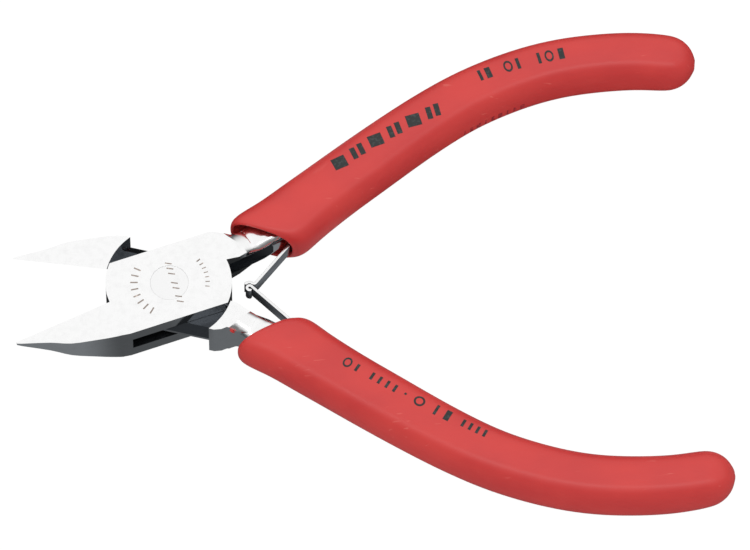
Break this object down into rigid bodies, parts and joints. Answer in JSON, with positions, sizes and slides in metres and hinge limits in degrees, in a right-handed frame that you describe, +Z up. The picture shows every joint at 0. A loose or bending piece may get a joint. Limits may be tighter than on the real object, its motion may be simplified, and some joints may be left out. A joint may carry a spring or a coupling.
{
  "type": "flush cutter",
  "caption": "Small flush cutter with a box joint, pointed bevelled jaws, double leaf return spring and curved dipped grips, shown open.",
  "frame": {"origin": "on the table under the middle of the open tool", "axes": "+X from the jaws to the handles, +Y to the upper handle, +Z up along the pivot's axis"},
  "size_m": [0.1216, 0.0918, 0.0102],
  "materials": {
    "polished_steel": "mirror polished forged tool steel",
    "rivet_steel": "ground flush and polished",
    "spring_steel": "blued spring steel with bright sheared edges",
    "dipped_coating": "satin dipped plastic"
  },
  "bodies": {
    "box_side": {"box_half": "polished_steel", "pivot_rivet": "rivet_steel", "upper_grip": "dipped_coating", "upper_leaf_foot": "spring_steel"},
    "tongue_side": {"tongue_half": "polished_steel", "lower_grip": "dipped_coating", "lower_leaf_foot": "spring_steel"},
    "lower_leaf": {"lower_leaf_arm": "spring_steel"},
    "upper_leaf": {"upper_leaf_arm": "spring_steel"}
  },
  "joints": [
    {"name": "jaw_pivot", "type": "hinge", "parent": "box_side", "child": "tongue_side", "pos_m": [-0.03397, 0, 0.0051], "axis": [0, 0, 1], "range_deg": [0, 33], "stiffness_Nm_per_rad": 0.6, "springref_deg": -11.46},
    {"name": "lower_leaf_bend", "type": "hinge", "parent": "tongue_side", "child": "lower_leaf", "pos_m": [-0.01032, -0.00888, 0.0051], "axis": [0, 0, 1], "range_deg": [0, 20.8]},
    {"name": "leaf_hook_pivot", "type": "hinge", "parent": "lower_leaf", "child": "upper_leaf", "pos_m": [-0.01927, 0.00025, 0.0051], "axis": [0, 0, -1], "range_deg": [0, 76]}
  ],
  "couplings": [
    {"joint": "lower_leaf_bend", "follows": "jaw_pivot", "ratio": 0.62626},
    {"joint": "leaf_hook_pivot", "follows": "jaw_pivot", "ratio": 2.2968}
  ]
}
